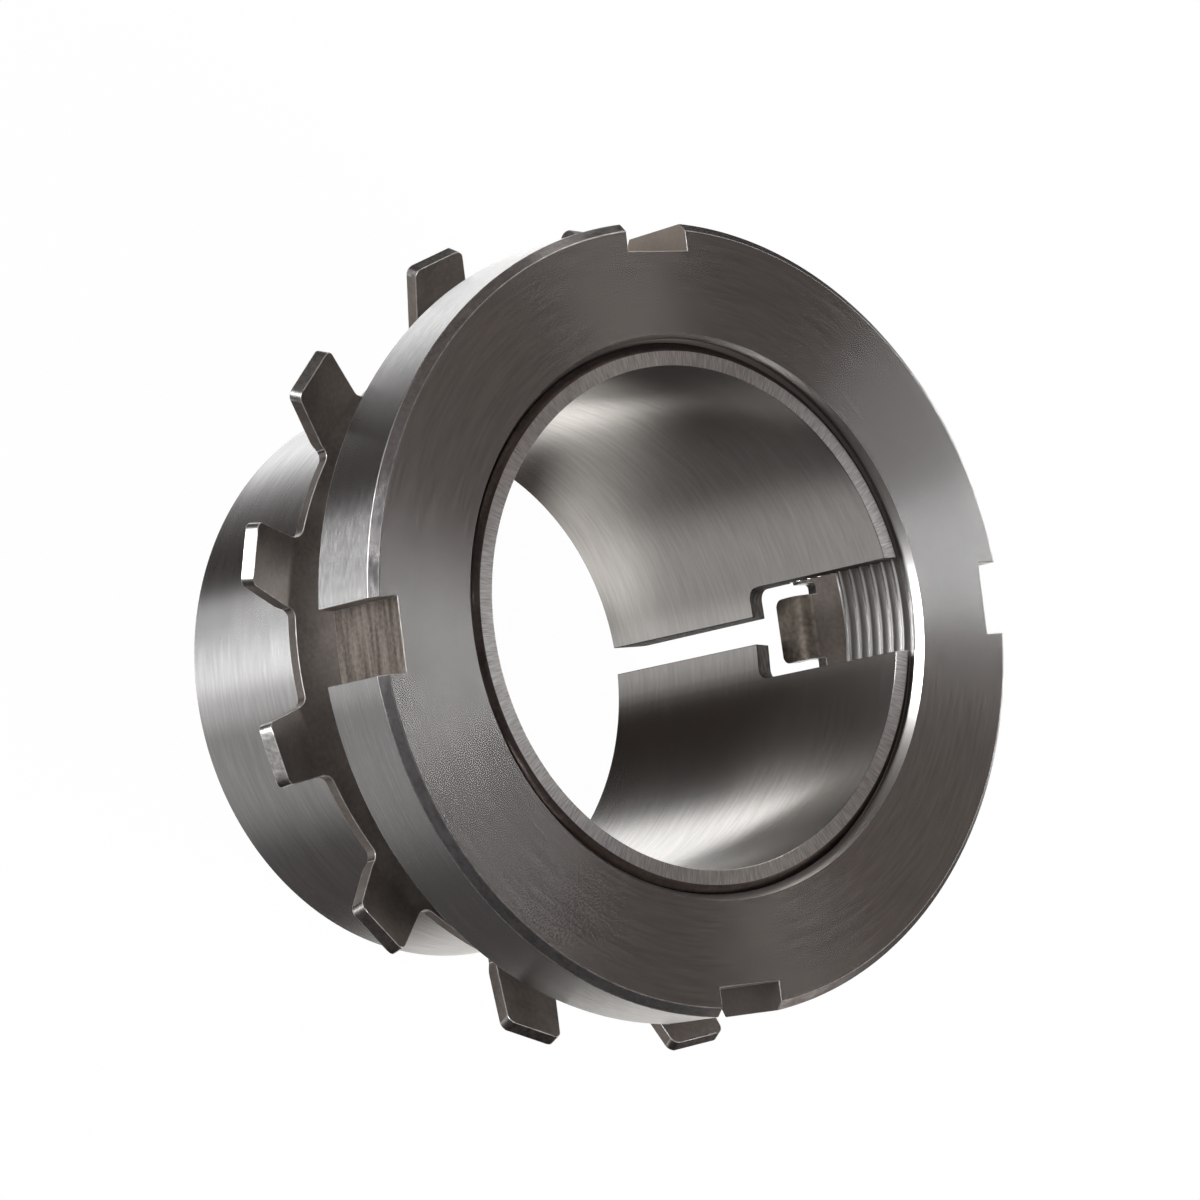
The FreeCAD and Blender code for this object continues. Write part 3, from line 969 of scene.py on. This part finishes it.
def card(tree, away, azimuth, sides, low, high, color):
    """A soft-edged card of the studio, as metal mirrors it.

    sides are the angles to left and right of its azimuth where it is still full and where it has faded.
    low and high are pairs of elevations, where it has faded and where it is full.
    """
    level = tree.add("ShaderNodeVectorMath", away, (1, 1, 0), operation="MULTIPLY")[0]
    level = tree.add("ShaderNodeVectorMath", level, operation="NORMALIZE")[0]
    facing = tree.add("ShaderNodeVectorMath", level, direction(azimuth, 0), operation="DOT_PRODUCT")["Value"]
    height = tree.add("ShaderNodeSeparateXYZ", away)["Z"]
    full, faded = (math.cos(math.radians(side)) for side in sides)
    share = 1.0
    for value, start, end in (
        (facing, faded, full),
        (height, *(math.sin(math.radians(angle)) for angle in low)),
        (height, *(math.sin(math.radians(angle)) for angle in high)),
    ):
        edge = tree.add("ShaderNodeMapRange", value, start, end, interpolation_type="SMOOTHSTEP")[0]
        share = tree.add("ShaderNodeMath", share, edge, operation="MULTIPLY")[0]
    return tree.add("ShaderNodeVectorMath", color, None, None, share, operation="SCALE")[0]


def seen_by_camera(tree, path):
    """Is 1 for what the camera sees, straight or through something clear, and 0 for other rays."""
    return tree.add(
        "ShaderNodeMath", path["Is Camera Ray"], path["Is Transmission Ray"], operation="MAXIMUM"
    )[0]


WHITE = (1, 1, 1, 1)
MATT_LIGHT = 0.5
ROOM = (0.046, 0.037, 0.034)
BELOW = ((-90, -88), (-32, -42))
CARDS = (
    # azimuth, full and faded to its sides, low edge, high edge, colour
    (128, (40, 55), *BELOW, grey(2.10)),
    (64, (26, 37), *BELOW, (1.3, 1.27, 1.22)),
    (-98, (6, 22), *BELOW, grey(0.50)),
    (-72, (14, 48), *BELOW, (0.48, 0.475, 0.47)),
    (-40, (10, 60), *BELOW, grey(0.12)),
    (64, (18, 36), (-14, -5), (30, 20), (0.78, 0.69, 0.62)),
    (150, (8, 16), (2, 10), (34, 26), (5.0, 4.8, 4.5)),
    (98, (30, 90), (20, 44), (88, 76), (0.100, 0.084, 0.077)),
    (-75, (20, 55), (18, 30), (62, 46), (0.13, 0.13, 0.135)),
    (180, (30, 60), (4, 12), (50, 34), (0.20, 0.175, 0.155)),
)


def make_world():
    """White for the camera, plain light for matt surfaces, and a studio of cards for metal."""
    world = bpy.context.scene.world or bpy.data.worlds.new("world")
    bpy.context.scene.world = world
    sky = Tree(world)
    away = sky.add("ShaderNodeTexCoord")["Generated"]
    total = ROOM
    for values in CARDS:
        total = sky.add("ShaderNodeVectorMath", total, card(sky, away, *values), operation="ADD")[0]
    path = sky.add("ShaderNodeLightPath")
    plain = sky.add("ShaderNodeBackground", WHITE, MATT_LIGHT)[0]
    room = sky.add("ShaderNodeBackground", total, 1.0)[0]
    white = sky.add("ShaderNodeBackground", WHITE, 1.0)[0]
    unseen = sky.add("ShaderNodeMixShader", path["Is Glossy Ray"], plain, room)[0]
    seen = sky.add("ShaderNodeMixShader", seen_by_camera(sky, path), unseen, white)[0]
    sky.add("ShaderNodeOutputWorld", seen)


FLOOR_HALF = 1.5
FLOOR_DROP = 0.2 * MM
FLOOR_WHITE = 0.985
CHALK = (0.8, 0.8, 0.8, 1)

# The glowing patch under the bore, a painted reflection that only metal sees, in millimetres, and the shares
# of its half sizes where it fades

PAINTED_GLOW_X = -9
PAINTED_GLOW_Y = 17.5
PAINTED_GLOW_HALF_X = 9
PAINTED_GLOW_HALF_Y = 6
PAINTED_GLOW_FADED = 1.05
PAINTED_GLOW_FULL = 0.3
PAINTED_GLOW_STRENGTH = 0.75
PAINTED_GLOW_COLOR = (1, 0.97, 0.93, 1)


def floor_white_and_painted_glow():
    """White paper for the camera. Metal looks through it at the cards, and at a glowing patch under the bore
    that paints a reflection into the bore.
    """
    paper = bpy.data.materials.new("floor_white_and_painted_glow")
    sheet = Tree(paper)
    path = sheet.add("ShaderNodeLightPath")
    share = sheet.add("ShaderNodeMath", seen_by_camera(sheet, path), FLOOR_WHITE, operation="MULTIPLY")[0]
    glow = sheet.add("ShaderNodeEmission", WHITE, 1.0)[0]
    chalk = sheet.add("ShaderNodeBsdfDiffuse", CHALK)[0]
    clear = sheet.add("ShaderNodeBsdfTransparent")[0]
    top = sheet.add("ShaderNodeMixShader", share, chalk, glow)[0]
    # Painted reflection: a soft patch of emission under the bore, which only glossy rays see and no lamp
    # lights.
    glow_mask = sheet.add("ShaderNodeTexCoord")["Object"]
    middle = (-PAINTED_GLOW_X * MM, -PAINTED_GLOW_Y * MM, 0)
    inverse = (1 / (PAINTED_GLOW_HALF_X * MM), 1 / (PAINTED_GLOW_HALF_Y * MM), 0)
    glow_mask = sheet.add("ShaderNodeVectorMath", glow_mask, middle, operation="ADD")[0]
    glow_mask = sheet.add("ShaderNodeVectorMath", glow_mask, inverse, operation="MULTIPLY")[0]
    glow_mask = sheet.add("ShaderNodeVectorMath", glow_mask, operation="LENGTH")["Value"]
    glow_mask = sheet.add(
        "ShaderNodeMapRange", glow_mask, PAINTED_GLOW_FADED, PAINTED_GLOW_FULL, 0.0, PAINTED_GLOW_STRENGTH, interpolation_type="SMOOTHSTEP"
    )[0]
    painted_glow = sheet.add("ShaderNodeEmission", PAINTED_GLOW_COLOR, glow_mask)[0]
    under = sheet.add("ShaderNodeAddShader", clear, painted_glow)[0]
    both = sheet.add("ShaderNodeMixShader", path["Is Glossy Ray"], top, under)[0]
    sheet.add("ShaderNodeOutputMaterial", both)
    return paper


def make_floor():
    mesh = bpy.data.meshes.new("floor")
    corners = [(x * FLOOR_HALF, y * FLOOR_HALF, 0) for x, y in ((-1, -1), (1, -1), (1, 1), (-1, 1))]
    mesh.from_pydata(corners, [], [(0, 1, 2, 3)])
    mesh.materials.append(floor_white_and_painted_glow())
    floor = bpy.data.objects.new("floor", mesh)
    floor.location.z = -FLOOR_DROP
    bpy.context.scene.collection.objects.link(floor)


LAMP_AIM = Vector((0, 0, 25)) * MM


def lamp(name, azimuth, elevation, distance, size, radiance, mirrored=True, lights=True):
    """An area lamp that faces the object. Its power follows from the radiance that a mirror would show.

    One that isn't mirrored only lights matt surfaces, and one that doesn't light them is only mirrored.
    """
    data = bpy.data.lights.new(name, "AREA")
    data.shape = "RECTANGLE"
    data.size, data.size_y = size
    data.energy = radiance * math.pi * size[0] * size[1]
    light = bpy.data.objects.new(name, data)
    away = direction(azimuth, elevation)
    light.location = LAMP_AIM + away * distance
    light.rotation_euler = away.to_track_quat("Z", "Y").to_euler()
    light.visible_glossy = mirrored
    light.visible_diffuse = lights
    bpy.context.scene.collection.objects.link(light)


make_world()
make_floor()
lamp("floor_key", 45, 42, 0.8, (0.30, 0.30), 20.0, mirrored=False)
lamp("back_core", 97.5, 18, 1.2, (0.16, 0.32), 12.6)
lamp("back_wide", 103, 18, 1.2, (0.42, 0.32), 5.0)
lamp("strip_left", -108, 12, 0.8, (0.42, 0.33), 26.0, lights=False)

# Camera, at the photograph's angle

CAMERA_AZIMUTH = -82.2412
CAMERA_ELEVATION = 52.2719
CAMERA_ROLL = math.radians(76.8220)
CAMERA_AIM = Vector((-4.1028, 5.0670, 21.1)) * MM
CAMERA_DISTANCE = 521.552 * MM
CAMERA_LENS = 172.53
CAMERA_SENSOR = 36.0


def make_camera():
    data = bpy.data.cameras.new("camera")
    data.sensor_width = CAMERA_SENSOR
    data.lens = CAMERA_LENS
    camera = bpy.data.objects.new("camera", data)
    away = direction(CAMERA_AZIMUTH, CAMERA_ELEVATION)
    facing = away.to_track_quat("Z", "Y").to_matrix() @ Matrix.Rotation(CAMERA_ROLL, 3, "Z")
    camera.matrix_world = Matrix.Translation(CAMERA_AIM + away * CAMERA_DISTANCE) @ facing.to_4x4()
    bpy.context.scene.collection.objects.link(camera)
    bpy.context.scene.camera = camera
    bpy.context.scene.view_settings.view_transform = "Standard"


make_camera()
